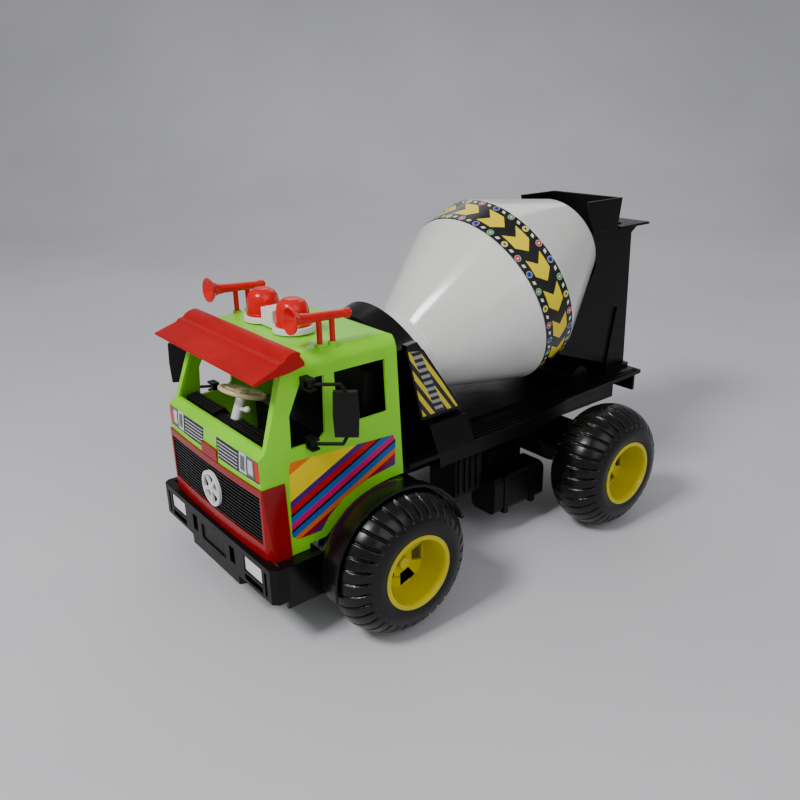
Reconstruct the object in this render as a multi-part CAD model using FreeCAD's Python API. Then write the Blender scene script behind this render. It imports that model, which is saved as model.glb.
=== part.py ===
"""Toy cement mixer truck: a plastic cab-over truck with balloon wheels, a turning drum and a rear hopper tower.

Millimetres, +Z up. The truck heads along -Y, its left side is +X, and the ground is Z = 0.
The origin is the point on the ground under the middle of the bounding box.
Lengths along the truck are measured back from the front axle, and ay() turns them into Y.
"""

import math
import os

import FreeCAD
import Part
from FreeCAD import Vector as V

# ---- driving dimensions -------------------------------------------------------------------
OVERALL_LENGTH = 484.0   # front of the bumper to the tip of the tower's top plate
BUMPER_FRONT = -92.5     # behind the front axle
FRONT_AXLE_Y = -OVERALL_LENGTH / 2 - BUMPER_FRONT
WHEELBASE = 245.5
TYRE_R = 57.5
TYRE_W = 54.0
WHEEL_OUT = 143.7        # outer face of the wheels, from the middle
RIM_R = 28.5
AXLE_R = 2.5
RUN = 0.06               # running clearance on a radius
WALL = 2.5               # moulded wall thickness

CAB_HALF_LOW = 78.5      # half width at CAB_LOW_Z
CAB_HALF_TOP = 70.5      # half width at CAB_TOP_Z
CAB_LOW_Z = 68.0
CAB_TOP_Z = 208.0
ROOF_Z = 214.0           # at the back; it rises to ROOF_FRONT_Z at the peak
ROOF_FRONT_Z = 217.6
CAB_BACK = 40.0
CAB_FRONT = -87.0
NOSE_R = 9.0             # rounding of the upright front corners
CAB_BOW_R = 1400.0       # plan radius of the bowed cab front
BAND_LOW_Z = 126.0       # lower edge of the green band over the grille
SILL_Z = 150.0           # windscreen sill

DECK_TOP = 107.0
DECK_HALF = 80.0
DECK_FRONT = 44.0
DECK_BACK = 372.0
DECK_PLAN = ((DECK_FRONT, DECK_HALF), (196.0, DECK_HALF), (250.0, 68.0), (DECK_BACK, 62.5))

DRUM_Y = 97.5            # middle of the drum's front neck
DRUM_Z = 164.5
DRUM_TILT = 20.6         # degrees above level
NECK_R = 41.0
BAND_FRONT_AT = 99.7     # along the drum's axis from the neck
BAND_BACK_AT = 133.1
DRUM_BACK_AT = 222.0
BAND_FRONT_R = 84.7
BAND_BACK_R = 86.1
DRUM_BACK_R = 44.5
DRUM_WALL = 2.0
PIN_R = 5.0
STUB_R = 6.0

TOWER_TOP = 250.0
HOPPER_TOP = 284.0
HOPPER_HALF = 43.0
TOWER_HALF = 40.0

OUT = "parts"


# ---- small helpers ------------------------------------------------------------------------
def ay(y):
    """Y in the row frame of a place measured back from the front axle."""
    return FRONT_AXLE_Y + y


def box(x0, x1, y0, y1, z0, z1):
    """A box between two places; y is measured back from the front axle."""
    return Part.makeBox(x1 - x0, y1 - y0, z1 - z0, V(x0, ay(y0), z0))


def prism_x(points, x0, x1):
    """A (y, z) outline pushed from x0 to x1."""
    wire = Part.makePolygon([V(x0, ay(y), z) for y, z in points + points[:1]])
    return Part.Face(wire).extrude(V(x1 - x0, 0, 0))


def prism_y(points, y0, y1):
    """An (x, z) outline pushed from y0 to y1."""
    wire = Part.makePolygon([V(x, ay(y0), z) for x, z in points + points[:1]])
    return Part.Face(wire).extrude(V(0, y1 - y0, 0))


def prism_z(points, z0, z1):
    """An (x, y) outline pushed from z0 to z1."""
    wire = Part.makePolygon([V(x, ay(y), z0) for x, y in points + points[:1]])
    return Part.Face(wire).extrude(V(0, 0, z1 - z0))


def rod(start, end, radius):
    """A round bar between two row-frame points."""
    axis = V(*end) - V(*start)
    return Part.makeCylinder(radius, axis.Length, V(*start), axis)


def rod_x(x0, x1, y, z, radius):
    return rod((x0, ay(y), z), (x1, ay(y), z), radius)


def turned(profile, place):
    """A (along, radius) outline turned about local Z, then put in place."""
    wire = Part.makePolygon([V(r, 0, a) for a, r in profile + profile[:1]])
    solid = Part.Face(wire).revolve(V(0, 0, 0), V(0, 0, 1), 360)
    solid.Placement = place
    return solid


def fused(shapes):
    first = shapes[0].fuse(list(shapes[1:])) if len(shapes) > 1 else shapes[0]
    return first.removeSplitter()


def mirrored(shape):
    """The same piece on the other side of the truck."""
    return shape.mirror(V(0, 0, 0), V(1, 0, 0))


def rounded(shape, radius, choose):
    """Rounds the straight edges that choose(start, end) picks."""
    picked = []
    for edge in shape.Edges:
        if len(edge.Vertexes) == 2 and choose(edge.Vertexes[0].Point, edge.Vertexes[1].Point):
            picked.append(edge)
    return shape.makeFillet(radius, picked)


def save(name, *solids):
    shape = solids[0] if len(solids) == 1 else Part.makeCompound(list(solids))
    if not shape.isValid() or not shape.Solids:
        print("BAD SHAPE", name)
    shape.exportStep(os.path.join(OUT, name + ".step"))


# ---- drum axis ----------------------------------------------------------------------------
TILT = math.radians(DRUM_TILT)
DRUM_AXIS = V(0, math.cos(TILT), math.sin(TILT))
DRUM_ORIGIN = V(0, ay(DRUM_Y), DRUM_Z)
DRUM_PLACE = FreeCAD.Placement(DRUM_ORIGIN, FreeCAD.Rotation(V(0, 0, 1), DRUM_AXIS))

# ---- wheels -------------------------------------------------------------------------------
HUB_FACE = 22.0          # how far the wheel disc sits inside the rim's lip
DISC_T = 3.0
WINDOW = [(10.5, -4, 0), (20.5, -7.2, 0), (20.5, 7.2, 0), (10.5, 4, 0)]


def wheel_place(side, y):
    """Local +Z points out of the truck from the wheel's outer face plane."""
    turn = FreeCAD.Rotation(V(0, 0, 1), V(side, 0, 0))
    return FreeCAD.Placement(V(side * WHEEL_OUT, ay(y), TYRE_R), turn)


def oval(inset, bead):
    """Half oval over the rim in (along, radius), from the outer face to the inner one."""
    points = []
    for step in range(13):
        turn = math.pi * step / 12
        along = -TYRE_W / 2 + (TYRE_W / 2 - inset) * math.cos(turn)
        points.append((along, bead + (TYRE_R - bead - inset) * math.sin(turn)))
    return points


def tyre(side, y):
    """Hollow balloon tyre whose bead grips the rim."""
    bead = RIM_R + 5.5
    skin = [(-2.0, RIM_R)] + oval(0.0, bead) + [(2.0 - TYRE_W, RIM_R)]
    inner = oval(3.5, bead)
    ring = turned(skin, wheel_place(side, y))
    hollow = turned(inner, wheel_place(side, y))
    return ring.cut(hollow)


def rim(side, y):
    """Deep-dish rim: lip, tapered barrel, disc with five windows and a hub bored for the axle."""
    disc_at = -HUB_FACE
    profile = [(0, RIM_R + 0.9), (0, RIM_R - 2.5), (-3, RIM_R - 3.2), (disc_at, 22), (disc_at, AXLE_R + RUN)]
    profile += [(-34, AXLE_R + RUN), (-34, 8), (disc_at - DISC_T, 8), (disc_at - DISC_T, 24.5)]
    profile += [(2 - TYRE_W, RIM_R - 2), (2 - TYRE_W, RIM_R), (-2, RIM_R), (-1.4, RIM_R + 0.9)]
    solid = turned(profile, wheel_place(side, y))
    windows = []
    for k in range(5):
        cut = Part.Face(Part.makePolygon([V(*p) for p in WINDOW + WINDOW[:1]])).extrude(V(0, 0, 12))
        cut.Placement = wheel_place(side, y).multiply(
            FreeCAD.Placement(V(0, 0, -HUB_FACE - 8), FreeCAD.Rotation(V(0, 0, 1), 72 * k + 18))
        )
        windows.append(cut)
    return solid.cut(windows)


def axle_cap(side, y):
    """Push-on cap that holds the wheel on the axle's end."""
    face = WHEEL_OUT - HUB_FACE + 0.4
    cap = rod_x(side * face, side * (face + 5.0), y, TYRE_R, 4.6)
    hole = rod_x(side * (face - 1), side * (face + 3.5), y, TYRE_R, AXLE_R)
    return cap.cut(hole)


def axle(y):
    end = WHEEL_OUT - HUB_FACE + 3.5
    return rod_x(-end, end, y, TYRE_R, AXLE_R)


def make_wheels():
    for end, y in (("front", 0.0), ("rear", WHEELBASE)):
        save(end + "_axle", axle(y))
        for word, side in (("left", 1), ("right", -1)):
            save("tyre_%s_%s" % (end, word), tyre(side, y))
            save("rim_%s_%s" % (end, word), rim(side, y))
        save(end + "_axle_caps", axle_cap(1, y), axle_cap(-1, y))


# ---- chassis ------------------------------------------------------------------------------
RAIL_IN = 24.0
RAIL_OUT = 34.0
RAIL_LOW = 70.0
RAIL_TOP = 102.0


def chassis_frame():
    """Two rails, cross members and an axle block at each end, one moulding."""
    rail = box(RAIL_IN, RAIL_OUT, -76, 366, RAIL_LOW, RAIL_TOP)
    rails = [rail, mirrored(rail)]
    crosses = [box(-RAIL_IN, RAIL_IN, y, y + 8, RAIL_LOW, RAIL_TOP) for y in (-76, 42, 120, 180, 290, 358)]
    blocks = []
    for y in (0.0, WHEELBASE):
        outline = [(y - 26, RAIL_LOW + 1), (y - 12, 46), (y + 12, 46), (y + 26, RAIL_LOW + 1)]
        for x0 in (-78, 58):
            blocks.append(prism_x(outline, x0, x0 + 20))
        blocks.append(box(-78, 78, y - 26, y + 26, RAIL_LOW, RAIL_LOW + 6))
        blocks.append(box(-60, 60, y - 10, y + 10, RAIL_LOW - 26, RAIL_LOW + 1))
        for s in (1, -1):
            blocks.append(rod_x(s * 77, s * (WHEEL_OUT - 34.4), y, TYRE_R, 6.5))
    frame = fused(rails + crosses + blocks)
    bores = [rod_x(-120, 120, y, TYRE_R, AXLE_R) for y in (0.0, WHEELBASE)]
    return frame.cut(bores)


def deck():
    """Load deck that narrows behind the middle, with ribbed edges, dropped skirts, and a hump by the tower."""
    right = [(-x, y) for y, x in DECK_PLAN]
    plan = [(x, y) for y, x in reversed(DECK_PLAN)] + right
    plate = prism_z(plan, DECK_TOP - 4, DECK_TOP)
    edge = [(80, 76), (80, 196), (68, 250), (65.4, 308), (62.4, 308), (65, 250), (77, 196), (77, 76)]
    skirt = prism_z(edge, DECK_TOP - 13, DECK_TOP)
    ribs = []
    for x in (-76, -71.5, -67, -62.5, -58, 56.4, 60.9, 65.4, 69.9, 74.4):
        ribs.append(box(x, x + 1.6, 116, DECK_BACK - 4, DECK_TOP, DECK_TOP + 1.2))
    grip = fused(ribs).common(prism_z([(x * 0.975, y) for x, y in plan], DECK_TOP - 1, DECK_TOP + 2))
    saddle = box(-46, 46, 120, 270, DECK_TOP, DECK_TOP + 2)
    hump = rod_x(-44, 44, 295, DECK_TOP + 3, 13)
    under = box(-60, 60, 270, 320, DECK_TOP - 20, DECK_TOP - 3)
    return fused([plate, skirt, mirrored(skirt), grip, saddle, hump.cut(under)])


def deck_fairing(side):
    """Slanting tool-box cover under the pedestal's flank."""
    outline = [(63.3, 128.9), (69.5, 128.9), (80, 108.6), (80, DECK_TOP), (63.3, DECK_TOP)]
    cover = prism_y([(side * x, z) for x, z in outline], 74, 115)
    groove = prism_y([(side * x, z) for x, z in ((90, 125), (70.6, 125), (77.4, 111.5), (90, 111.5))], 80, 109)
    return cover.cut(groove)


def fuel_tank(side):
    """Rounded tank hung under the deck by two straps."""
    body = box(50, 80, 141, 205, 24, 59)
    body = rounded(body, 6, lambda a, b: abs(a.x - b.x) < 1e-6 and abs(a.z - b.z) < 1e-6)
    straps = [box(49, 81, y, y + 5, 23, 60).cut(box(51, 79, y - 1, y + 6, 25, 58)) for y in (153, 188)]
    hanger = box(RAIL_OUT, 60, 152, 194, 52, 78)
    solid = fused([body, hanger] + straps)
    return solid if side > 0 else mirrored(solid)


def battery_box(side):
    """Ribbed air filter and step unit ahead of the tank."""
    body = box(RAIL_OUT, 68, 104, 136, 50, 90)
    ribs = [box(68, 70, 107 + 7 * k, 110 + 7 * k, 54, 86) for k in range(4)]
    solid = fused([body] + ribs)
    return solid if side > 0 else mirrored(solid)


def tail_plate():
    """Board across the back under the deck, with two stiffening ribs."""
    face = box(-58, 58, 366.1, 369.1, 84, DECK_TOP - 4.1)
    ribs = [box(x, x + 3, 369, 371.4, 85, DECK_TOP - 5) for x in (-20, 17)]
    return fused([face] + ribs)


def tail_lamp(side):
    lamp = box(40, 55, 369.2, 372.4, 88, 99)
    return lamp if side > 0 else mirrored(lamp)


# ---- front end ----------------------------------------------------------------------------
ARCH = ((-41, 44), (-40.5, 62), (-36, 72.5), (-27, 80), (-17, 87.5), (-4, 94), (10, 98), (27, 100), (40, 100))
ARCH += ((52, 93), (60, 80), (62, 70))
ARCH_AT_CAB = 78.0       # the mudguard leaves the cab's side here and flares out over the tyre
MUDGUARD_OUT = 125.0
MUDGUARD_T = 2.0
# how far out, and the radius round the wheel that the flare has reached there
FLARE = ((92.0, 47.4), (98.0, 54.0), (104.0, 58.4), (112.0, 60.8), (MUDGUARD_OUT, 61.2))


def arch_radius(turn):
    """Radius of the cab's wheel arch round the axle in one direction, in degrees up from straight back."""
    way = V(math.cos(math.radians(turn)), math.sin(math.radians(turn)), 0)
    for (y0, z0), (y1, z1) in zip(ARCH, ARCH[1:]):
        a, b = V(y0, z0 - TYRE_R, 0), V(y1 - y0, z1 - z0, 0)
        cross = way.x * b.y - way.y * b.x
        along = (a.x * b.y - a.y * b.x) / cross
        share = (a.x * way.y - a.y * way.x) / cross
        if -1e-9 <= share <= 1 + 1e-9 and along > 0:
            return along
    return TYRE_R + 5.0


def flare_section(x, least):
    """Closed strip of the mudguard's wall in the plane x, at least that far from the axle."""
    outer, inner = [], []
    for step in range(20):
        turn = 14 + 9.2 * step
        radius = max(least, arch_radius(turn) - 0.6)
        for points, r in ((outer, radius), (inner, radius - MUDGUARD_T)):
            points.append(V(x, ay(r * math.cos(math.radians(turn))), TYRE_R + r * math.sin(math.radians(turn))))
    loop = outer + inner[::-1]
    return Part.makePolygon(loop + loop[:1])


def fender(side):
    """Mudguard that flares from the cab's arch over the tyre, and the skirt that joins it to the bumper."""
    planes = [(70.0, 0.0), (ARCH_AT_CAB, 0.0)] + list(FLARE)
    guard = Part.makeLoft([flare_section(x, least) for x, least in planes], True, True)
    skirt = box(86.7, 89.2, -78.8, -43.5, 33, 67.6)
    shelf = box(72, 89.2, -78.8, -46, 65, 67.6)
    solid = fused([guard, skirt, shelf])
    return solid if side > 0 else mirrored(solid)


BUMPER_HALF = 93.4


def bumper():
    """Front bumper: end blocks, lamp pockets, grab slots, a plate recess and a dropped middle."""
    outline = [(-BUMPER_HALF, -79), (-BUMPER_HALF, -88), (-BUMPER_HALF + 4, BUMPER_FRONT + 0.4)]
    outline += [(-40, BUMPER_FRONT), (40, BUMPER_FRONT), (BUMPER_HALF - 4, BUMPER_FRONT + 0.4)]
    outline += [(BUMPER_HALF, -88), (BUMPER_HALF, -79), (88, -79), (88, -84.5), (-88, -84.5), (-88, -79)]
    bar = prism_z(outline, 42.5, 71)
    chin = prism_z([(-40, BUMPER_FRONT), (-44, -84.5), (44, -84.5), (40, BUMPER_FRONT)], 34.5, 44)
    solid = bar.fuse(chin)
    cuts = []
    for s in (1, -1):
        lo, hi = sorted((s * 51, s * 77))
        cuts.append(box(lo, hi, BUMPER_FRONT - 1, -87.5, 53, 66))
        cuts.append(box(lo, hi, BUMPER_FRONT - 1, -87.5, 45.5, 50.5))
        lo, hi = sorted((s * 81, s * 84))
        cuts.append(box(lo, hi, BUMPER_FRONT - 1, -89.5, 46, 66))
        lo, hi = sorted((s * 28, s * 36))
        cuts.append(box(lo, hi, BUMPER_FRONT - 1, -89.5, 50, 64))
    cuts.append(box(-20, 20, BUMPER_FRONT - 1, -91.3, 48, 62))
    shelf = box(-72, 72, -84.6, -74, 64.5, 67)
    return fused([solid.cut(cuts).cut(cab_block(-1.6, 67.6)), shelf])


def fog_light(side):
    """White lamp block in the bumper's pocket."""
    lamp = box(51.3, 76.7, -91.6, -87.5, 53.3, 65.7)
    lamp = rounded(lamp, 1.6, lambda a, b: abs(a.x - b.x) < 1e-6 and abs(a.z - b.z) < 1e-6)
    return lamp if side > 0 else mirrored(lamp)


# ---- cab ----------------------------------------------------------------------------------
def half_at(z):
    """Cab half width at a height."""
    share = (z - CAB_LOW_Z) / (CAB_TOP_Z - CAB_LOW_Z)
    return CAB_HALF_LOW + (CAB_HALF_TOP - CAB_HALF_LOW) * share


def bow(front, inset=0.0):
    """Tall cylinder whose front is the cab's bowed face, front mm behind the axle."""
    radius = CAB_BOW_R - inset
    return Part.makeCylinder(radius, 400, V(0, ay(front + inset) + radius, -20))


def cab_block(inset, low=CAB_LOW_Z):
    """The cab's outer form, or its inside when inset is the wall."""
    edge = half_at(204) - inset
    section = [(half_at(low) - inset, low), (edge, 204 - inset)]
    for inward, height in ((1.4, 208), (4, 211.6), (8, 214.4), (14, 216.6), (24, ROOF_FRONT_Z)):
        section.append((edge - inward, height - inset))
    left = [(-x, z) for x, z in reversed(section)]
    body = prism_y(section + left, -110, CAB_BACK)
    side = [(CAB_BACK, low), (CAB_BACK, ROOF_Z - inset - 1.5), (CAB_BACK - 5, ROOF_Z - inset)]
    side += [(-50 + inset, ROOF_FRONT_Z - inset), (-58 + inset, ROOF_FRONT_Z - 6 - inset), (-79 + inset, SILL_Z + 2)]
    side += [(-85 + inset, SILL_Z - 2), (CAB_FRONT + inset, BAND_LOW_Z), (CAB_FRONT + inset, low)]
    body = body.common(prism_x(side, -100, 100)).common(bow(CAB_FRONT, inset))
    nose_x, nose_y = half_at(CAB_LOW_Z) - NOSE_R, ay(CAB_FRONT + NOSE_R)
    square = Part.makeBox(30, 30, 400, V(nose_x, nose_y - 30, -20))
    corner = square.cut(Part.makeCylinder(NOSE_R - inset, 400, V(nose_x, nose_y, -20)))
    return body.cut([corner, mirrored(corner)])


def cab_shell():
    """Green cab moulding: roof, pillars, door skins and the band over the grille, open below and behind."""
    outer = cab_block(0)
    inner = cab_block(WALL, CAB_LOW_Z - 5)
    shell = outer.cut(inner.cut(box(-90, 90, CAB_BACK - WALL, CAB_BACK + 1, 0, 300)))
    cuts = []
    low_front = [(-120, 60), (-120, BAND_LOW_Z), (-66.5, BAND_LOW_Z), (-66.5, 60)]
    cuts.append(prism_x(low_front, -100, 100))
    arch = [(-66, 40), (-51, 40), (-51, 72), (-36, 72.5)]
    arch += [(-27, 80), (-17, 87.5), (-4, 94), (10, 98), (27, 100), (50, 100), (50, 40)]
    cuts.append(prism_x(arch, -100, 100))
    cuts.append(box(-13, 13, -100, -80, BAND_LOW_Z - 1, 136))
    quarter = [(-58.3, 149.3), (-57.2, 174), (-45.5, 197), (-26, 197), (-29, 154), (-34.5, 149.3)]
    main = [(-17.5, 155), (-17.5, 197), (28.5, 197), (28.5, 155)]
    cuts.append(prism_x(quarter, -100, 100))
    cuts.append(prism_x(main, -100, 100))
    screen = [(-69, SILL_Z + 3), (-63, 206), (63, 206), (69, SILL_Z + 3)]
    cuts.append(prism_y(screen, -110, -50))
    cuts.append(prism_y([(-66, 70), (-62, 204), (62, 204), (66, 70)], CAB_BACK - 6, CAB_BACK + 4))
    for side in (1, -1):
        cuts.extend(mirror_eyes(side))
    return shell.cut(cuts)


GRILLE_HALF = 73.0
GRILLE_SLATS = 13


def front_panel():
    """Red grille surround that wraps round the cab's corners, with a tab up into the green band."""
    outer = cab_block(-1.2, CAB_LOW_Z).common(box(-100, 100, -110, -66.8, CAB_LOW_Z, BAND_LOW_Z - 0.2))
    inner = cab_block(2.0, CAB_LOW_Z - 5)
    shell = outer.cut(inner)
    tab = box(-12.7, 12.7, -95, -80, BAND_LOW_Z - 4, 135.7).common(bow(CAB_FRONT, -0.8)).cut(bow(CAB_FRONT, 2.0))
    window = box(-GRILLE_HALF, GRILLE_HALF, -110, -70, 82, 120)
    back = box(-GRILLE_HALF - 1, GRILLE_HALF + 1, -83.6, -81.6, 78, 123.5)
    return fused([shell.cut(window), tab, back])




def grille():
    """Black slatted insert in the red surround."""
    half = GRILLE_HALF - 0.2
    frame = box(-half, half, -93, -83.7, 82.2, 119.8).common(bow(CAB_FRONT, -0.4))
    pitch = 36.4 / GRILLE_SLATS
    cuts = []
    for k in range(GRILLE_SLATS):
        z = 82.8 + pitch * k
        slot = box(1 - half, half - 1, -100, -80, z + 1.1, z + pitch)
        cuts.append(slot.common(bow(CAB_FRONT, -0.5)).cut(bow(CAB_FRONT, 1.4)))
    return frame.cut(cuts)


def badge():
    """Plain round badge: a ring on five spokes."""
    place = FreeCAD.Placement(V(0, ay(CAB_FRONT - 2.85), 100), FreeCAD.Rotation(V(0, 0, 1), V(0, 1, 0)))
    ring = turned([(0, 14.5), (0, 11.6), (2.4, 11.6), (2.4, 14.5)], place)
    hub = turned([(0, 0), (0, 3.6), (2.4, 3.6), (2.4, 0)], place)
    spokes = []
    for k in range(5):
        bar = Part.makeBox(10, 2.4, 1.8, V(2.5, -1.2, 0.4))
        bar.Placement = place.multiply(FreeCAD.Placement(V(0, 0, 0), FreeCAD.Rotation(V(0, 0, 1), 72 * k + 18)))
        spokes.append(bar)
    return fused([ring, hub] + spokes)


def sun_visor():
    """Red peak over the windscreen: a crest on the roof edge, a creased slope and two turned-down ends."""
    slope = [(-47.5, ROOF_FRONT_Z + 0.2), (-48.3, ROOF_FRONT_Z + 2.4), (-51.5, ROOF_FRONT_Z + 3.6)]
    slope += [(-56, ROOF_FRONT_Z + 3.0), (-60, 218.6), (-62.5, 216.0), (-66.5, 215.2), (-68.6, 213), (-86.6, 207)]
    slope += [(-87.2, 205.6), (-84.6, 204.6), (-66, 211), (-59, 214), (-52, ROOF_FRONT_Z + 0.2)]
    peak = prism_x(slope, -81, 81)
    plan = prism_z([(-80.9, -90), (80.9, -90), (77.8, -45), (-77.8, -45)], 190, 230)
    flaps = []
    for s in (1, -1):
        outline = [(-84, 206), (-67, 213.6), (-50, 219.6), (-46, 214), (-43.4, 210), (-58, 207.4)]
        lo, hi = sorted((s * 76.4, s * 81))
        flap = prism_x(outline, lo, hi)
        inside = prism_z([(s * 78.6, -90), (s * 75.9, -40), (s * 60, -40), (s * 60, -90)], 190, 230)
        flaps.append(flap.cut(inside))
    return fused([peak] + flaps).common(plan)


BAR_LOW = ROOF_FRONT_Z + 0.05
BAR_TOP = BAR_LOW + 4.6


def light_bar():
    """White base under the two beacons."""
    ends = [Part.makeCylinder(16.0, BAR_TOP - BAR_LOW, V(s * 22, ay(-19), BAR_LOW)) for s in (1, -1)]
    waist = box(-22, 22, -29, -9, BAR_LOW, BAR_TOP)
    return fused(ends + [waist])


def beacon_box():
    """White lamp housing between the domes."""
    block = box(-8.5, 8.5, -29, -9, BAR_TOP, BAR_TOP + 9.5)
    gap = [Part.makeCylinder(13.8, 40, V(s * 22, ay(-19), BAR_TOP - 2)) for s in (1, -1)]
    return block.cut(gap)


def beacon(side):
    """Hollow red dome."""
    place = FreeCAD.Placement(V(side * 22, ay(-19), BAR_TOP), FreeCAD.Rotation())
    outer = [(0, 0), (0, 13.8), (1.8, 13.8), (1.8, 13.1), (11, 12.5), (15, 11.6), (18, 9.8), (19.6, 7), (20.2, 6.6)]
    outer += [(20.6, 0)]
    inner = [(1, 0), (1, 11.6), (10.5, 11), (14.5, 10.1), (17, 8), (18.6, 0)]
    return turned(outer, place).cut(turned(inner, place))


HORN_X = 62.0
HORN_Z = 238.0
HORN_NOSE_UP = 3.0       # degrees


def horn(side):
    """Air horn: flared bell, straight trumpet and two plug-in posts."""
    drop = math.radians(HORN_NOSE_UP)
    turn = FreeCAD.Rotation(V(0, 0, 1), V(0, math.cos(drop), -math.sin(drop)))
    place = FreeCAD.Placement(V(side * HORN_X, ay(-46), HORN_Z), turn)
    bell = [(0, 8.8), (0, 9.8), (1.2, 9.8), (4, 6.8), (8, 4.6), (14, 3.7), (45, 3.1), (46, 3.6), (50, 3.6), (51.5, 2)]
    bell += [(51.5, 0), (6, 0), (3, 4.4)]
    posts = [rod((side * HORN_X, ay(y), ROOF_Z - 4.5), (side * HORN_X, ay(y), HORN_Z - 2.5), 2.1) for y in (-22, -11)]
    return fused([turned(bell, place)] + posts)


def horn_sockets(shell):
    """Raised sockets on the roof for the horns' posts."""
    parts, holes = [], []
    for s in (1, -1):
        for y in (-22, -11):
            parts.append(rod((s * HORN_X, ay(y), ROOF_Z - 5.5), (s * HORN_X, ay(y), ROOF_Z + 3.2), 3.5))
            holes.append(rod((s * HORN_X, ay(y), ROOF_Z - 4.6), (s * HORN_X, ay(y), ROOF_Z + 5), 2.15))
    return fused([shell] + parts).cut(holes)


MIRROR_Y = -43.0         # the bracket's hinge line
MIRROR_X = 79.0
MIRROR_HIGH = 196.0
MIRROR_LOW = 151.0
MIRROR_REACH = 24.3      # hinge to the middle of the mirror
MIRROR_SPLAY = {1: 49.0, -1: -58.0}  # degrees back from straight out: the right one is swung forward
MIRROR_MID = 174.0
MIRROR_PIN_R = 1.2


def splayed(shape, side):
    """Swings a mirror piece, drawn straight out to the left, to where it rests on its side."""
    shape.rotate(V(MIRROR_X, ay(MIRROR_Y), 0), V(0, 0, 1), MIRROR_SPLAY[side])
    return shape if side > 0 else mirrored(shape)


def mirror_arm(side):
    """Bent wire bracket that turns on two pins."""
    y, out = ay(MIRROR_Y), MIRROR_X + MIRROR_REACH
    bars = []
    for z, inner in ((MIRROR_HIGH, 191.5), (MIRROR_LOW, 156.5)):
        bars.append(rod((MIRROR_X, y, z), (out - 3, y, z), 1.3))
        bars.append(rod((out - 3, y, z), (out, y, inner), 1.3))
        bars.append(Part.makeSphere(1.3, V(out - 3, y, z)))
        bars.append(rod((MIRROR_X, y, z - 2.2), (MIRROR_X, y, z + 2.2), 2.0))
        bars.append(rod((MIRROR_X, y, z - 4.4), (MIRROR_X, y, z + 4.4), MIRROR_PIN_R - RUN))
    bars.append(rod((out, y, 191.5), (out, y, 156.5), 1.3))
    return splayed(fused(bars), side)


def mirror_outline(width, height):
    """(x, z) outline of the mirror head, slightly wider at its middle."""
    out = MIRROR_X + MIRROR_REACH
    points = [(-8.4, -17), (-9.2, 0), (-8.4, 17), (8.4, 17), (9.2, 0), (8.4, -17)]
    return [(out + x * width, MIRROR_MID + z * height) for x, z in points]


def mirror_head(side):
    """Mirror back with a rim round the glass side."""
    plate = prism_y(mirror_outline(1, 1), MIRROR_Y - 2.4, MIRROR_Y + 2.6)
    hollow = prism_y(mirror_outline(0.86, 0.92), MIRROR_Y + 1.5, MIRROR_Y + 3)
    out = MIRROR_X + MIRROR_REACH
    wire = rod((out, ay(MIRROR_Y), 150), (out, ay(MIRROR_Y), 200), 1.3)
    return splayed(plate.cut([hollow, wire]), side)


def mirror_glass(side):
    return splayed(prism_y(mirror_outline(0.85, 0.91), MIRROR_Y + 1.5, MIRROR_Y + 2.2), side)


def mirror_eyes(side):
    """Two forked eyes plugged into the door frame; the bracket's pins turn in them."""
    eyes = []
    for z in (MIRROR_HIGH, MIRROR_LOW):
        eye = box(half_at(z) - 1.4, MIRROR_X + 3.6, MIRROR_Y - 3.2, MIRROR_Y + 3.2, z - 4.4, z + 4.4)
        gap = box(MIRROR_X - 3, MIRROR_X + 9, MIRROR_Y - 5, MIRROR_Y + 5, z - 2.6, z + 2.6)
        hole = rod((MIRROR_X, ay(MIRROR_Y), z - 6), (MIRROR_X, ay(MIRROR_Y), z + 6), MIRROR_PIN_R)
        eye = eye.cut([gap, hole])
        eyes.append(eye if side > 0 else mirrored(eye))
    return eyes


# ---- cab inside ---------------------------------------------------------------------------
COLUMN_FOOT = (-64.0, 147.0)      # where the column leaves the dash
COLUMN_LEAN = 20.0                # degrees back from upright
COLUMN_R = 4.4
WHEEL_AT = 25.6                   # wheel plane, along the column from its foot


def column_place():
    """Local +Z runs up the steering column from its foot."""
    y, z = COLUMN_FOOT
    return FreeCAD.Placement(V(0, ay(y), z), FreeCAD.Rotation(V(1, 0, 0), -COLUMN_LEAN))


def dashboard():
    """Black dash with two padded hoods, grooved on top, and a socket for the column."""
    outline = [(-76, 134), (-79.5, 143), (-75.5, 149.5), (-68, 153), (-60, 150), (-57, 134)]
    body = prism_x(outline, -66, 66)
    hood = [(-74, 149), (-74, 155), (-64, 156.5), (-59.5, 149)]
    hoods = [prism_x(hood, -63, -14), prism_x(hood, 14, 63)]
    grooves = [box(x, x + 41, -73 + 2.8 * k, -71.8 + 2.8 * k, 154.4, 160) for x in (-59, 18) for k in range(5)]
    feet = box(-66, 66, -66, -57.5, 108, 135)
    socket = turned([(-6, 0), (-6, COLUMN_R), (30, COLUMN_R), (30, 0)], column_place())
    return fused([body, feet] + hoods).cut(grooves + [socket])


def seat():
    """Black bench, two backrests and the rear wall, one moulding."""
    wall = prism_y([(-69, 104), (-65.5, 198), (65.5, 198), (69, 104)], CAB_BACK - 5.8, CAB_BACK - 2.8)
    bench = box(-60, 60, -14, CAB_BACK - 5, 108, 138)
    back = [prism_x([(14, 137), (22, 184), (CAB_BACK - 5, 184), (CAB_BACK - 5, 137)], x, x + 50) for x in (-56, 6)]
    rests = [prism_x([(22, 183), (25, 194), (CAB_BACK - 5, 194), (CAB_BACK - 5, 183)], x, x + 26) for x in (-44, 18)]
    return fused([wall, bench] + back + rests)


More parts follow.
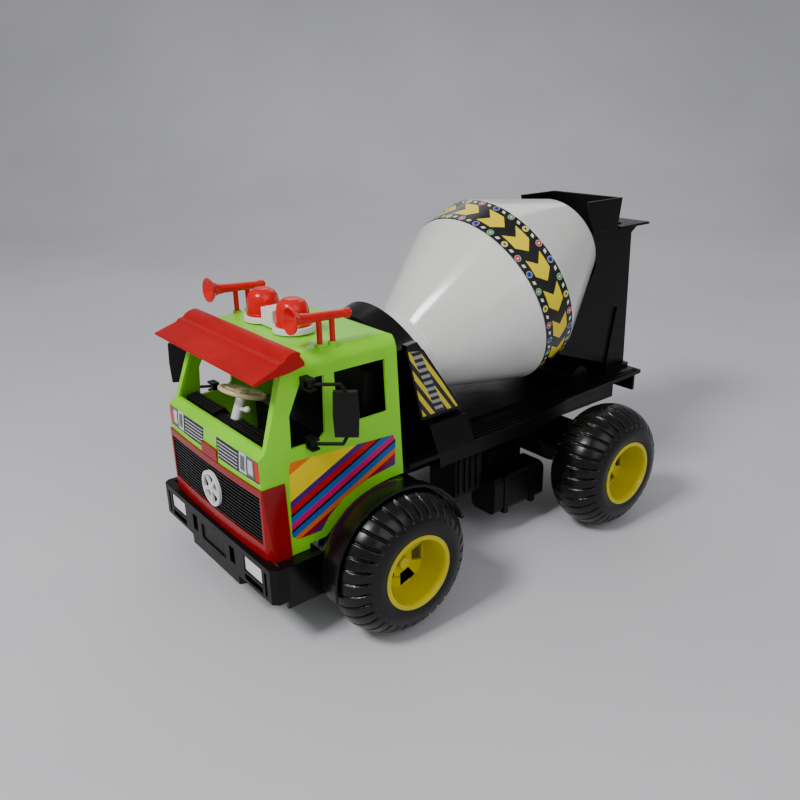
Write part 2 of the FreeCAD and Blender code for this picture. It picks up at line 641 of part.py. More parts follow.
def steering_column():
    """White column with a lever at one side and a pin for the wheel."""
    post = turned([(-6, 0), (-6, COLUMN_R), (WHEEL_AT - 4, COLUMN_R - 0.8), (WHEEL_AT - 4, 0)], column_place())
    pin = turned([(0, 0), (0, 2), (WHEEL_AT + 3, 2), (WHEEL_AT + 3, 0)], column_place())
    lever = Part.makeCylinder(1.6, 13, V(0, 0, 12), V(1, 0, 0.25))
    knob = Part.makeSphere(2.6, V(12.6, 0, 15.2))
    for piece in (lever, knob):
        piece.Placement = column_place().multiply(piece.Placement)
    return fused([post, pin, lever, knob])


def steering_wheel():
    """Cream wheel: round rim, three spokes and a bored hub."""
    place = column_place().multiply(FreeCAD.Placement(V(0, 0, WHEEL_AT), FreeCAD.Rotation()))
    rim_ring = Part.makeTorus(17, 1.8)
    rim_ring.Placement = place
    hub = turned([(-3.6, 2 + RUN), (-3.6, 5), (1.6, 5), (2.8, 3.6), (2.8, 2 + RUN)], place)
    spokes = []
    for k in range(3):
        bar = Part.makeBox(13, 3.6, 2.0, V(4, -1.8, -1.2))
        bar.Placement = place.multiply(FreeCAD.Placement(V(0, 0, 0), FreeCAD.Rotation(V(0, 0, 1), 120 * k + 90)))
        spokes.append(bar)
    return fused([hub, rim_ring] + spokes)


# ---- drum and its supports ----------------------------------------------------------------
def drum_front():
    """Front shell: neck ring, long cone and a boss bored for the pedestal's pin."""
    w = DRUM_WALL
    outer = [(0, PIN_R + RUN), (0, NECK_R - 4), (1.5, NECK_R - 1), (9, NECK_R), (10, NECK_R - 1.5)]
    outer += [(13, NECK_R - 0.5), (BAND_FRONT_AT - 0.6, BAND_FRONT_R - 0.2)]
    outer += [(BAND_FRONT_AT - 0.6, BAND_FRONT_R - w - 1)]
    outer += [(13, NECK_R - 1 - w), (3, NECK_R - 4 - w), (3, PIN_R + 4), (14, PIN_R + 4), (14, PIN_R + RUN)]
    return turned(outer, DRUM_PLACE)


def drum_rear():
    """Rear shell: cone closed by a flat end, with the stub that turns in the tower."""
    w, end = DRUM_WALL, DRUM_BACK_AT
    outer = [(BAND_FRONT_AT - 0.5, BAND_FRONT_R - 1.05), (BAND_BACK_AT, BAND_BACK_R - 1.05)]
    outer += [(BAND_BACK_AT, BAND_BACK_R - 0.2), (BAND_BACK_AT + 4, BAND_BACK_R - 1.6)]
    outer += [(end - 2.5, DRUM_BACK_R + 0.6), (end, DRUM_BACK_R - 1)]
    outer += [(end, STUB_R), (end + 14, STUB_R), (end + 14, 0), (end - w, 0), (end - w, DRUM_BACK_R - w - 2)]
    outer += [(BAND_BACK_AT + 4, BAND_BACK_R - 1.8 - w), (BAND_BACK_AT, BAND_BACK_R - 1 - w)]
    outer += [(BAND_FRONT_AT - 0.5, BAND_FRONT_R - 1 - w)]
    return turned(outer, DRUM_PLACE)


def drum_band():
    """Printed belt round the widest part."""
    lo, hi = BAND_FRONT_AT + 0.2, BAND_BACK_AT - 0.2
    profile = [(lo, BAND_FRONT_R - 1), (lo, BAND_FRONT_R), (hi, BAND_BACK_R), (hi, BAND_BACK_R - 1)]
    return turned(profile, DRUM_PLACE)


PED_R = 63.0
PED_NEAR = -10.0         # pedestal faces, along the drum's axis from the neck
PED_FAR = -30.0


def tombstone(radius, near, far, foot):
    """Round-topped block square to the drum's axis."""
    top = turned([(near, 0), (near, radius), (far, radius), (far, 0)], DRUM_PLACE)
    leg = Part.makeBox(2 * radius, foot, far - near, V(-radius, 0, near))
    leg.Placement = DRUM_PLACE
    if leg.BoundBox.ZMax > top.BoundBox.ZMax + 1:
        leg = Part.makeBox(2 * radius, foot, far - near, V(-radius, -foot, near))
        leg.Placement = DRUM_PLACE
    return top.fuse(leg)


def pedestal():
    """Black round-topped stand behind the cab, hollow at the front, with flanks that run back."""
    block = tombstone(PED_R, PED_FAR, PED_NEAR, 90)
    hollow = tombstone(PED_R - 5, PED_FAR - 1, PED_NEAR - 4, 100)
    stand = block.cut(hollow)
    flank = [(56, 195), (73.5, 192.6), (114, 134.4), (115, 129), (72, 129)]
    flanks = [prism_x(flank, x, x + 3.4) for x in (-62.8, 59.4)]
    ledges = [box(x, x + 14, 74, 115, 129, 133.6) for x in (-62.8, 48.8)]
    walls = [box(x, x + 4, 74, 115, DECK_TOP, 130) for x in (-60, 56)]
    lugs = [prism_x([(57, 190), (56.5, 199), (67, 200), (74, 191)], x, x + 6) for x in (-62.8, 56.8)]
    keep = box(-100, 100, 43, 140, DECK_TOP, 300)
    boss = turned([(PED_NEAR - 5, 0), (PED_NEAR - 5, 14), (PED_NEAR + 4, 12), (PED_NEAR + 4, 0)], DRUM_PLACE)
    bore = turned([(PED_NEAR - 8, 0), (PED_NEAR - 8, PIN_R), (12, PIN_R), (12, 0)], DRUM_PLACE)
    return fused([stand.common(keep), boss] + flanks + ledges + walls + lugs).cut(bore)


def drum_pin():
    """Pin pressed into the pedestal that the drum's front turns on."""
    return turned([(PED_NEAR - 7, 0), (PED_NEAR - 7, PIN_R), (11, PIN_R), (12, PIN_R - 1), (12, 0)], DRUM_PLACE)


STUB_BORE = STUB_R + RUN


def drum_room(gap):
    """The space the drum sweeps, with a gap round it."""
    end = DRUM_BACK_AT + gap
    profile = [(0, 0), (0, NECK_R + gap), (BAND_FRONT_AT, BAND_FRONT_R + gap), (BAND_BACK_AT + 4, BAND_BACK_R + gap)]
    return turned(profile + [(end, DRUM_BACK_R + gap), (end, 0)], DRUM_PLACE)


def tower():
    """Rear column: two side webs that hug the drum, a back wall, and a cross wall bored for the drum's stub."""
    web = [(306, 253.5), (262, 160), (266, 141), (333, 118), (337, DECK_TOP), (372, DECK_TOP), (366.5, 253.5)]
    webs = [prism_x(web, x, x + WALL) for x in (-TOWER_HALF, TOWER_HALF - WALL)]
    back = prism_x([(368, DECK_TOP), (372, DECK_TOP), (366.5, 253.5), (362.5, 253.5)], -TOWER_HALF, TOWER_HALF)
    rib = [(350, 174), (337, DECK_TOP), (344, DECK_TOP), (354, 172)]
    ribs = [prism_x(rib, x, x + 2.4) for x in (-TOWER_HALF - 2.2, TOWER_HALF - 0.2)]
    near = DRUM_BACK_AT + 2.5
    cross = Part.makeBox(2 * TOWER_HALF, 210, 5, V(-TOWER_HALF, -60, near))
    cross.Placement = DRUM_PLACE
    cross = cross.common(box(-TOWER_HALF, TOWER_HALF, 262, 368.5, DECK_TOP, 253.3))
    hole = turned([(near - 5, 0), (near - 5, STUB_BORE), (near + 11, STUB_BORE), (near + 11, 0)], DRUM_PLACE)
    foot = box(-TOWER_HALF - 6, TOWER_HALF + 6, 336, 372, DECK_TOP, DECK_TOP + 4)
    shape = fused(webs + [back, cross, foot] + ribs)
    return shape.cut([hole, drum_room(1.2)])


def hopper():
    """Open scoop on the tower's top: two side walls and a back wall that lean over the drum's closed end."""
    half = HOPPER_HALF
    body = prism_x([(303.4, 253.6), (292.1, HOPPER_TOP), (343.8, HOPPER_TOP), (340.5, 261), (340.5, 253.6)], -half, half)
    inside = prism_x([(270, 300), (270, 250), (338, 250), (338, 261), (341.3, 300)], 2.5 - half, half - 2.5)
    return body.cut([inside, drum_room(1.4)])


def tower_plate():
    """Flat top plate behind the hopper, on two wedge brackets."""
    plate = box(-43, 43, 345, OVERALL_LENGTH + BUMPER_FRONT, 253.6, 255.9)
    wedges = [prism_x([(366.8, 254), (367.4, 245), (380, 254)], x, x + 3) for x in (-38, -1.5, 35)]
    knob = [Part.makeCylinder(2.5, 2, V(s * 30, ay(358), 255.7)) for s in (1, -1)]
    return fused([plate] + wedges + knob)


def screws(places, up):
    """Pan-head screws, heads down, one solid each."""
    made = []
    for x, y, z in places:
        head = Part.makeCylinder(3.2, 2.0, V(x, ay(y), z - 2.0))
        shank = Part.makeCylinder(1.3, up, V(x, ay(y), z - 0.1))
        slot = Part.makeBox(4.4, 0.8, 0.9, V(x - 2.2, ay(y) - 0.4, z - 2.0))
        made.append(head.fuse(shank).removeSplitter().cut(slot))
    return made


# ---- build --------------------------------------------------------------------------------
FRAME_SCREWS = [(s * 29, y, RAIL_LOW) for s in (1, -1) for y in (60, 150, 330)]


def main():
    os.makedirs(OUT, exist_ok=True)
    make_wheels()
    frame = chassis_frame()
    holes = [Part.makeCylinder(1.3, 30, V(x, ay(y), z - 1)) for x, y, z in FRAME_SCREWS]
    save("chassis_frame", frame.cut(holes))
    save("deck", deck())
    save("chassis_screws", *screws(FRAME_SCREWS, 24))
    shell = horn_sockets(cab_shell())
    save("cab_shell", shell)
    save("front_panel", front_panel())
    save("grille", grille())
    save("badge", badge())
    save("bumper", bumper())
    save("sun_visor", sun_visor())
    save("light_bar", light_bar())
    save("beacon_box", beacon_box())
    save("dashboard", dashboard())
    save("seat", seat())
    save("steering_column", steering_column())
    save("steering_wheel", steering_wheel())
    for word, side in (("left", 1), ("right", -1)):
        save("fender_" + word, fender(side))
        save("fog_light_" + word, fog_light(side))
        save("fuel_tank_" + word, fuel_tank(side))
        save("air_box_" + word, battery_box(side))
        save("deck_fairing_" + word, deck_fairing(side))
        save("beacon_" + word, beacon(side))
        save("horn_" + word, horn(side))
        save("mirror_arm_" + word, mirror_arm(side))
        save("mirror_head_" + word, mirror_head(side))
        save("mirror_glass_" + word, mirror_glass(side))
        save("mirror_eyes_" + word, *mirror_eyes(side))
    save("drum_front", drum_front())
    save("drum_rear", drum_rear())
    save("drum_band", drum_band())
    save("pedestal", pedestal())
    save("drum_pin", drum_pin())
    save("tower", tower())
    save("hopper", hopper())
    save("tower_plate", tower_plate())
    save("tail_plate", tail_plate())
    save("tail_lamps", tail_lamp(1), tail_lamp(-1))


main()
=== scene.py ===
"""Looks for the toy cement mixer: materials, treaded tyres, stickers, floor, lights and camera.

Metres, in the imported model's frame: the truck heads along -Y, its left side is +X, +Z is up.
"""

import math

import bpy
from mathutils import Matrix, Vector
from mathutils.bvhtree import BVHTree

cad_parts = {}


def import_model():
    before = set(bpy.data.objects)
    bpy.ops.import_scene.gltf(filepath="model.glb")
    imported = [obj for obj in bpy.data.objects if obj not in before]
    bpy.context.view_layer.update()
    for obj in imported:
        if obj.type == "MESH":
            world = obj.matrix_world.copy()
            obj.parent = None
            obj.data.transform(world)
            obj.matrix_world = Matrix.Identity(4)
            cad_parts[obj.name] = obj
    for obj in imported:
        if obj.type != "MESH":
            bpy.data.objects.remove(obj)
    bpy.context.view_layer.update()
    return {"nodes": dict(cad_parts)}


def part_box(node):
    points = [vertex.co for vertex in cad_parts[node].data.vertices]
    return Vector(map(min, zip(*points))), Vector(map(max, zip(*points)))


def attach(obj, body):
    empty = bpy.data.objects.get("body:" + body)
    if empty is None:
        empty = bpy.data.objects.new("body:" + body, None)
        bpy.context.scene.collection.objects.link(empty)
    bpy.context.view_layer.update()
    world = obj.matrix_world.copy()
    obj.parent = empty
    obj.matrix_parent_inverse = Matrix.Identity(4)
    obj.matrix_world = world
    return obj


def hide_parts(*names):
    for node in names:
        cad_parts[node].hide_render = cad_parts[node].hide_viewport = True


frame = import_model()
NODES = frame["nodes"]
MM = 0.001
DRUM_TILT = math.radians(20.6)
DRUM_NECK = (0, 97.5, 164.5)     # middle of the drum's front neck, in millimetres
FRONT_AXLE_Y = sum(c.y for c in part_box("tyre_front_left")) / 2


def mm(x, y, z):
    """A point in millimetres, with y measured back from the front axle, as a frame point."""
    return Vector((x * MM, FRONT_AXLE_Y + y * MM, z * MM))


# ---- materials ----------------------------------------------------------------------------
def srgb(r, g, b):
    """0 to 255 screen colour as a linear colour."""
    out = []
    for c in (r, g, b):
        c /= 255.0
        out.append(c / 12.92 if c <= 0.04045 else ((c + 0.055) / 1.055) ** 2.4)
    return out + [1.0]


class Tree:
    """A small helper that adds nodes to one material."""

    def __init__(self, name):
        self.material = bpy.data.materials.new(name)
        self.material.use_nodes = True
        self.nodes = self.material.node_tree.nodes
        self.links = self.material.node_tree.links
        self.nodes.clear()
        self.out = self.nodes.new("ShaderNodeOutputMaterial")
        self.shader = self.nodes.new("ShaderNodeBsdfPrincipled")
        self.link(self.shader.outputs[0], self.out.inputs[0])
        self.place = self.nodes.new("ShaderNodeTexCoord").outputs["Object"]

    def link(self, a, b):
        self.links.new(a, b)

    def put(self, socket, value):
        if isinstance(value, bpy.types.NodeSocket):
            self.link(value, socket)
        else:
            socket.default_value = value

    def math(self, kind, a, b=0.0, c=0.0):
        n = self.nodes.new("ShaderNodeMath")
        n.operation = kind
        for socket, value in zip(n.inputs, (a, b, c)):
            self.put(socket, value)
        return n.outputs[0]

    def vector(self, kind, a, b):
        n = self.nodes.new("ShaderNodeVectorMath")
        n.operation = kind
        self.put(n.inputs[0], a)
        self.put(n.inputs[1], b)
        return n.outputs["Value"] if kind == "DOT_PRODUCT" else n.outputs["Vector"]

    def noise(self, size, detail=3.0, rough=0.55, stretch=None):
        """Noise whose features are about size metres."""
        n = self.nodes.new("ShaderNodeTexNoise")
        n.inputs["Scale"].default_value = 1.0 / size
        n.inputs["Detail"].default_value = detail
        n.inputs["Roughness"].default_value = rough
        place = self.place
        if stretch:
            m = self.nodes.new("ShaderNodeMapping")
            m.inputs["Scale"].default_value = stretch
            self.link(place, m.inputs["Vector"])
            place = m.outputs[0]
        self.link(place, n.inputs["Vector"])
        return n.outputs[0]

    def band(self, value, low, high, a=0.0, b=1.0):
        n = self.nodes.new("ShaderNodeMapRange")
        n.interpolation_type = "SMOOTHSTEP"
        self.put(n.inputs["Value"], value)
        for key, v in (("From Min", low), ("From Max", high), ("To Min", a), ("To Max", b)):
            n.inputs[key].default_value = v
        return n.outputs[0]

    def mix(self, share, a, b):
        n = self.nodes.new("ShaderNodeMix")
        n.data_type = "RGBA"
        self.put(n.inputs[0], share)
        self.put(n.inputs[6], a)
        self.put(n.inputs[7], b)
        return n.outputs[2]

    def bump(self, height, depth, strength=1.0, under=None):
        n = self.nodes.new("ShaderNodeBump")
        n.inputs["Strength"].default_value = strength
        n.inputs["Distance"].default_value = depth
        self.link(height, n.inputs["Height"])
        if under is not None:
            self.link(under, n.inputs["Normal"])
        return n.outputs[0]


def shade(color, k):
    return [min(1.0, c * k) for c in color[:3]] + [1.0]


def plastic(name, color, rough=0.3, vary=0.10, grain=0.0007, depth=0.00003, wave=0.00012,
            coat=0.0, dust=0.0, scuff=0.12, gleam=0.5):
    """Moulded plastic: slow colour drift, fine grain, gentle sink marks, scuffed gloss and a little dust."""
    t = Tree(name)
    drift = t.band(t.noise(0.045, 4), 0.32, 0.68)
    base = t.mix(drift, shade(color, 1 - vary), shade(color, 1 + vary))
    if dust:
        fine = t.band(t.noise(0.0011, 2), 0.66, 0.74)
        specks = t.math("MULTIPLY", fine, t.band(t.noise(0.02, 3), 0.42, 0.66))
        base = t.mix(t.math("MULTIPLY", specks, dust), base, srgb(150, 148, 142))
    t.link(base, t.shader.inputs["Base Color"])
    scuffs = t.band(t.noise(0.004, 6, 0.7, (1, 0.25, 1)), 0.45, 0.75, rough, rough + scuff)
    t.link(scuffs, t.shader.inputs["Roughness"])
    slow = t.bump(t.noise(0.016, 2), wave, 0.5)
    t.link(t.bump(t.noise(grain, 2), depth, 0.6, slow), t.shader.inputs["Normal"])
    t.shader.inputs["IOR"].default_value = 1.49
    t.shader.inputs["Specular IOR Level"].default_value = gleam
    if coat:
        t.shader.inputs["Coat Weight"].default_value = coat
        t.shader.inputs["Coat Roughness"].default_value = 0.06
    return t.material


def steel(name):
    t = Tree(name)
    color = t.mix(t.noise(0.0015, 4, 0.6, (0.2, 1, 1)), srgb(150, 150, 152), srgb(205, 205, 208))
    t.link(color, t.shader.inputs["Base Color"])
    t.shader.inputs["Metallic"].default_value = 1.0
    t.link(t.band(t.noise(0.0012, 5), 0.3, 0.7, 0.22, 0.42), t.shader.inputs["Roughness"])
    t.link(t.bump(t.noise(0.0005, 2, 0.5, (0.1, 1, 1)), 0.00002, 0.5), t.shader.inputs["Normal"])
    return t.material


GREEN = srgb(136, 226, 10)
M = {
    "green": plastic("lime_plastic", GREEN, 0.30, 0.05, 0.0009, 0.00001, 0.00010, scuff=0.10),
    "red": plastic("red_plastic", srgb(208, 2, 2), 0.2, 0.10, wave=0.00008, gleam=0.4),
    "visor": plastic("visor_plastic", srgb(176, 3, 7), 0.32, 0.12,
                     wave=0.0002, scuff=0.14, gleam=0.25),
    "panel": plastic("surround_plastic", srgb(142, 3, 7), 0.2, 0.10, 0.0015, 0.000005, 0.00006,
                     scuff=0.06, gleam=0.3),
    "black": plastic("black_plastic", srgb(6, 6, 7), 0.36, 0.35, 0.0008, 0.00003, 0.0001,
                     dust=0.1, scuff=0.2, gleam=0.2),
    "gloss": plastic("gloss_black_plastic", srgb(6, 6, 7), 0.22, 0.35, 0.0009, 0.00002, 0.0001,
                     dust=0.1, gleam=0.28),
    "matte": plastic("matte_black_plastic", srgb(9, 9, 10), 0.5, 0.25, 0.0006, 0.00006, 0.0001,
                     dust=0.1, gleam=0.25),
    "tyre": plastic("tyre_plastic", srgb(7, 7, 8), 0.24, 0.3, 0.0012, 0.00001, 0.00004,
                    dust=0.08, scuff=0.14, gleam=0.34),
    "rim": plastic("rim_plastic", srgb(202, 188, 2), 0.32, 0.08, 0.0008, 0.00003, 0.00008, gleam=0.35),
    "ivory": plastic("drum_plastic", srgb(224, 224, 220), 0.14, 0.03, 0.0012, 0.000006, 0.00010,
                     coat=0.25, scuff=0.06),
    "white": plastic("white_plastic", srgb(230, 230, 228), 0.24, 0.04, wave=0.00006),
    "cream": plastic("cream_plastic", srgb(214, 196, 150), 0.32, 0.08),
    "lens": plastic("red_lens", srgb(150, 5, 6), 0.12, 0.1, coat=0.5),
    "steel": steel("steel_wire"),
    "silver": steel("silvered_sticker"),
}
INKS = {
    "yellow": srgb(240, 212, 0),
    "orange": srgb(232, 110, 14),
    "violet": srgb(74, 34, 120),
    "red": srgb(196, 16, 22),
    "black": srgb(12, 12, 14),
    "blue": srgb(30, 96, 176),
    "magenta": srgb(204, 22, 104),
    "crimson": srgb(150, 12, 44),
    "pale": srgb(200, 203, 206),
    "grey": srgb(96, 100, 106),
    "amber": srgb(206, 40, 14),
}
LAMP_INKS = ("amber", "black", "grey", "pale")
PRINT = {
    ink: plastic("print_" + ink, INKS[ink], 0.2, 0.06, 0.0006, 0.00001, 0.00006, gleam=0.2)
    for ink in LAMP_INKS
}

BELT_MIDDLE = 116.4      # along the drum's axis from the neck, in millimetres
ARROWS = 18
ARROW_PITCH = 29.8       # millimetres round the belt
ARROW_HALF = 8.6
DOTS = 32
DOT_PITCH = 16.8
DOT_ROW = 13.1           # from the belt's middle line


def drum_belt():
    """Belt print: a row of yellow arrows between two rows of ringed dots and slanted dashes, on black."""
    t = Tree("belt_print")
    off = t.vector("SUBTRACT", t.place, tuple(mm(*DRUM_NECK)))
    along = t.vector("DOT_PRODUCT", off, (0, math.cos(DRUM_TILT), math.sin(DRUM_TILT)))
    up = t.vector("DOT_PRODUCT", off, (0, -math.sin(DRUM_TILT), math.cos(DRUM_TILT)))
    side = t.vector("DOT_PRODUCT", off, (1, 0, 0))
    turn = t.math("DIVIDE", t.math("ARCTAN2", side, up), 2 * math.pi)
    across = t.math("ABSOLUTE", t.math("SUBTRACT", t.math("MULTIPLY", along, 1000), BELT_MIDDLE))

    def inside(value, limit, soft=0.12):
        return t.band(value, limit - soft, limit + soft, 1.0, 0.0)

    trail = t.math("ADD", t.math("DIVIDE", across, ARROW_PITCH), 40)
    phase = t.math("FRACT", t.math("ADD", t.math("MULTIPLY", turn, ARROWS), trail))
    arrow = t.math("MULTIPLY", inside(phase, 0.55, 0.005), inside(across, ARROW_HALF))
    color = t.mix(arrow, srgb(10, 10, 11), srgb(238, 214, 2))
    count = t.math("ADD", t.math("MULTIPLY", turn, DOTS), 2 * DOTS)
    cell = t.math("FLOOR", count)
    local = t.math("MULTIPLY", t.math("SUBTRACT", t.math("SUBTRACT", count, cell), 0.5), DOT_PITCH)
    edge = t.math("SUBTRACT", across, DOT_ROW)
    far = t.math("SQRT", t.math("ADD", t.math("MULTIPLY", local, local), t.math("MULTIPLY", edge, edge)))
    slant = t.math("ABSOLUTE", t.math("ADD", local, t.math("MULTIPLY", edge, 0.5)))
    dash = t.math("ABSOLUTE", t.math("SUBTRACT", slant, DOT_PITCH / 2))
    bar = t.math("MULTIPLY", inside(dash, 1.6), inside(t.math("ABSOLUTE", edge), 1.3))
    color = t.mix(bar, color, srgb(226, 226, 224))
    kind = t.math("MODULO", cell, 4)
    dot = srgb(190, 16, 20)
    for k, ink in ((1, srgb(24, 70, 170)), (2, srgb(40, 150, 40)), (3, srgb(226, 206, 14))):
        dot = t.mix(t.math("COMPARE", kind, k, 0.5), dot, ink)
    odd = t.math("COMPARE", t.math("MODULO", cell, 2), 1, 0.5)
    heart = t.mix(odd, srgb(228, 228, 226), srgb(20, 20, 24))
    for limit, ink in ((3.0, srgb(190, 190, 188)), (2.5, dot), (1.0, heart)):
        color = t.mix(inside(far, limit), color, ink)
    color = t.mix(t.math("MULTIPLY", t.noise(0.01, 4), 0.12), color, srgb(120, 118, 112))
    t.link(color, t.shader.inputs["Base Color"])
    t.link(t.band(t.noise(0.004, 5), 0.4, 0.75, 0.16, 0.3), t.shader.inputs["Roughness"])
    t.link(t.bump(t.noise(0.012, 2), 0.00008, 0.5), t.shader.inputs["Normal"])
    t.shader.inputs["Specular IOR Level"].default_value = 0.3
    return t.material


def side_print(name):
    """A new material, with the surface's y behind the front axle and its z, both in millimetres."""
    t = Tree(name)
    parts = t.nodes.new("ShaderNodeSeparateXYZ")
    t.link(t.place, parts.inputs[0])
    y = t.math("MULTIPLY", t.math("SUBTRACT", parts.outputs[1], FRONT_AXLE_Y), 1000)
    return t, y, t.math("MULTIPLY", parts.outputs[2], 1000)


# the stripes from the lowest up: each one's upper edge, in millimetres up the door at the front axle
STRIPES = [(101, "violet"), (105, "crimson"), (109, "orange"), (114, "blue"), (116, "black")]
STRIPES += [(121, "magenta"), (126, "blue"), (128, "black"), (133, "red"), (138, "violet")]
STRIPES += [(158, "yellow"), (200, "orange")]


def door_print():
    """Plain parallel stripes that climb towards the back."""
    t, y, z = side_print("door_print")
    height = t.math("MULTIPLY_ADD", y, -0.44, z)
    color = INKS[STRIPES[0][1]]
    for (edge, _), (_, ink) in zip(STRIPES, STRIPES[1:]):
        color = t.mix(t.band(height, edge - 0.15, edge + 0.15), color, INKS[ink])
    t.link(color, t.shader.inputs["Base Color"])
    t.link(t.band(t.noise(0.004, 5), 0.4, 0.75, 0.2, 0.32), t.shader.inputs["Roughness"])
    t.link(t.bump(t.noise(0.01, 2), 0.00006, 0.5), t.shader.inputs["Normal"])
    t.shader.inputs["Specular IOR Level"].default_value = 0.2
    return t.material


def hazard():
    """Slanted yellow and black bars with a grey ladder down the middle."""
    t, y, z = side_print("hazard_print")
    bars = t.math("FRACT", t.math("ADD", t.math("DIVIDE", t.math("MULTIPLY_ADD", y, 1.3, z), 12.0), 8))
    color = t.mix(t.band(bars, 0.49, 0.51), srgb(226, 206, 12), srgb(14, 14, 15))
    middle = t.math("ABSOLUTE", t.math("SUBTRACT", y, t.math("MULTIPLY_ADD", z, -0.4653, 154.5)))
    rungs = t.math("FRACT", t.math("DIVIDE", z, 6.0))
    ladder = t.mix(t.band(rungs, 0.49, 0.51), srgb(150, 152, 156), srgb(16, 16, 17))
    color = t.mix(t.band(middle, 4.4, 4.6, 1.0, 0.0), color, ladder)
    t.link(color, t.shader.inputs["Base Color"])
    t.link(t.band(t.noise(0.004, 5), 0.4, 0.75, 0.2, 0.34), t.shader.inputs["Roughness"])
    t.link(t.bump(t.noise(0.01, 2), 0.00006, 0.5), t.shader.inputs["Normal"])
    return t.material


M["belt"] = drum_belt()
M["hazard"] = hazard()
M["stripes"] = door_print()


# ---- which node gets which material -----------------------------------------------------
def finish_for(name):
    rules = [
        ("cab_shell", "green"), ("front_panel", "panel"), ("sun_visor", "visor"),
        ("horn", "red"),
        ("beacon_box", "white"), ("beacon", "red"), ("light_bar", "white"), ("badge", "white"),
        ("fog", "white"), ("steering_column", "white"), ("steering_wheel", "cream"), ("tyre", "tyre"),
        ("rim", "rim"), ("front_axle_caps", "rim"), ("rear_axle_caps", "rim"), ("front_axle", "steel"),
        ("rear_axle", "steel"), ("chassis_screws", "steel"), ("drum_pin", "gloss"),
        ("drum_band", "belt"), ("drum", "ivory"), ("mirror_glass", "silver"),
        ("tail_lamps", "lens"), ("mirror", "matte"), ("dashboard", "matte"), ("seat", "matte"),
        ("fender", "gloss"), ("pedestal", "gloss"), ("grille", "gloss"),
    ]
    for start, key in rules:
        if name.startswith(start):
            return key
    return "black"


def soften(o, width=0.5, angle=32):
    """Rounds a node's sharp edges a little, as moulded edges are, without touching its own mesh."""
    for p in o.data.polygons:
        p.use_smooth = True
    weld = o.modifiers.new("weld", "WELD")
    weld.merge_threshold = 0.00001
    flat = o.modifiers.new("flat", "DECIMATE")
    flat.decimate_type = "DISSOLVE"
    flat.angle_limit = math.radians(0.8)
    edge = o.modifiers.new("edge", "BEVEL")
    edge.width = width * MM
    edge.segments = 2
    edge.limit_method = "ANGLE"
    edge.angle_limit = math.radians(angle)
    edge.use_clamp_overlap = True
    normal = o.modifiers.new("normal", "WEIGHTED_NORMAL")
    normal.weight = 60


for name, node in NODES.items():
    node.data.materials.clear()
    node.data.materials.append(M[finish_for(name)])
    soften(node, 0.25 if name.startswith(("grille", "mirror_glass", "chassis_screws")) else 0.5)


# ---- balloon tyres and stickers --------------------------------------------------------
def piece(name, verts, faces, body, materials, kinds=None, smooth=False):
    mesh = bpy.data.meshes.new(name)
    mesh.from_pydata([tuple(v) for v in verts], [], faces)
    for m in materials:
        mesh.materials.append(m)
    for k, p in enumerate(mesh.polygons):
        p.use_smooth = smooth
        if kinds:
            p.material_index = kinds[k]
    mesh.update()
    o = bpy.data.objects.new(name, mesh)
    bpy.context.scene.collection.objects.link(o)
    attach(o, body)
    return o


def smoothstep(a, b, x):
    t = min(1.0, max(0.0, (x - a) / (b - a)))
    return t * t * (3 - 2 * t)


PITCHES = 34             # tread bars round the tyre, in two staggered halves
STEPS = 16               # mesh steps in one bar


def tread(turn, arc):
    """Groove depth, 0 to 1.

    turn counts bars round the wheel, and arc is 0 at the outer bead and 1 at the inner one.
    """
    middle = arc - 0.5
    bars = turn + (0.5 if middle > 0 else 0.0) + 2.4 * middle * abs(middle) + 50
    spot = bars - math.floor(bars)
    width = 0.07 + 0.42 * abs(middle)
    groove = smoothstep(0.0, 0.07, spot) * (1 - smoothstep(width, width + 0.08, spot))
    groove *= min(1.0, 0.4 + 1.6 * abs(middle))
    ends = smoothstep(0.10, 0.16, arc) * (1 - smoothstep(0.84, 0.90, arc))
    rib = smoothstep(0.012, 0.03, abs(middle))
    return groove * ends * rib


def tyre(end, word, side):
    node = "tyre_%s_%s" % (end, word)
    low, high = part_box(node)
    hub = (low + high) / 2
    radius, half = (high.z - low.z) / 2 - 0.0001, (high.x - low.x) / 2
    bead = 0.034
    arcs = 44
    verts, faces = [], []
    count = PITCHES * STEPS
    for k in range(count):
        a = 2 * math.pi * k / count
        ring = [(half - 0.0012, 0.0286), (half - 0.0004, 0.0305), (half - 0.0003, 0.0325)]
        for n in range(arcs + 1):
            arc = n / arcs
            swing = math.pi * arc
            dip = 0.0027 * tread(k / STEPS, arc)
            ring.append(((half - dip) * math.cos(swing), bead + (radius - bead - dip) * math.sin(swing)))
        ring += [(0.0003 - half, 0.0325), (0.0004 - half, 0.0305), (0.0012 - half, 0.0286)]
        for along, r in ring:
            verts.append(hub + Vector((side * along, r * math.sin(a), r * math.cos(a))))
    rows = len(verts) // count
    for k in range(count):
        a, b = k * rows, ((k + 1) % count) * rows
        for n in range(rows - 1):
            face = (a + n, b + n, b + n + 1, a + n + 1)
            faces.append(face if side < 0 else face[::-1])
    body = "wheel_%s_%s" % (end, word)
    o = piece("balloon_" + node, verts, faces, body, [M["tyre"]], smooth=True)
    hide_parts(node)


for end in ("front", "rear"):
    for word, side in (("left", 1), ("right", -1)):
        tyre(end, word, side)


def cab_half(z):
    """Half width of the cab's leaning side at height z, in millimetres."""
    return 78.5 - 8.0 * (z - 68.0) / 140.0


# (y, z) in millimetres: its lower edge follows the wheel's arch
DOOR_OUTLINE = [(-62, 135), (-60, 140), (32, 135), (34, 130), (32, 110), (4, 106)]
DOOR_OUTLINE += [(-18, 98), (-32, 88), (-40, 79), (-60, 79), (-65, 83)]


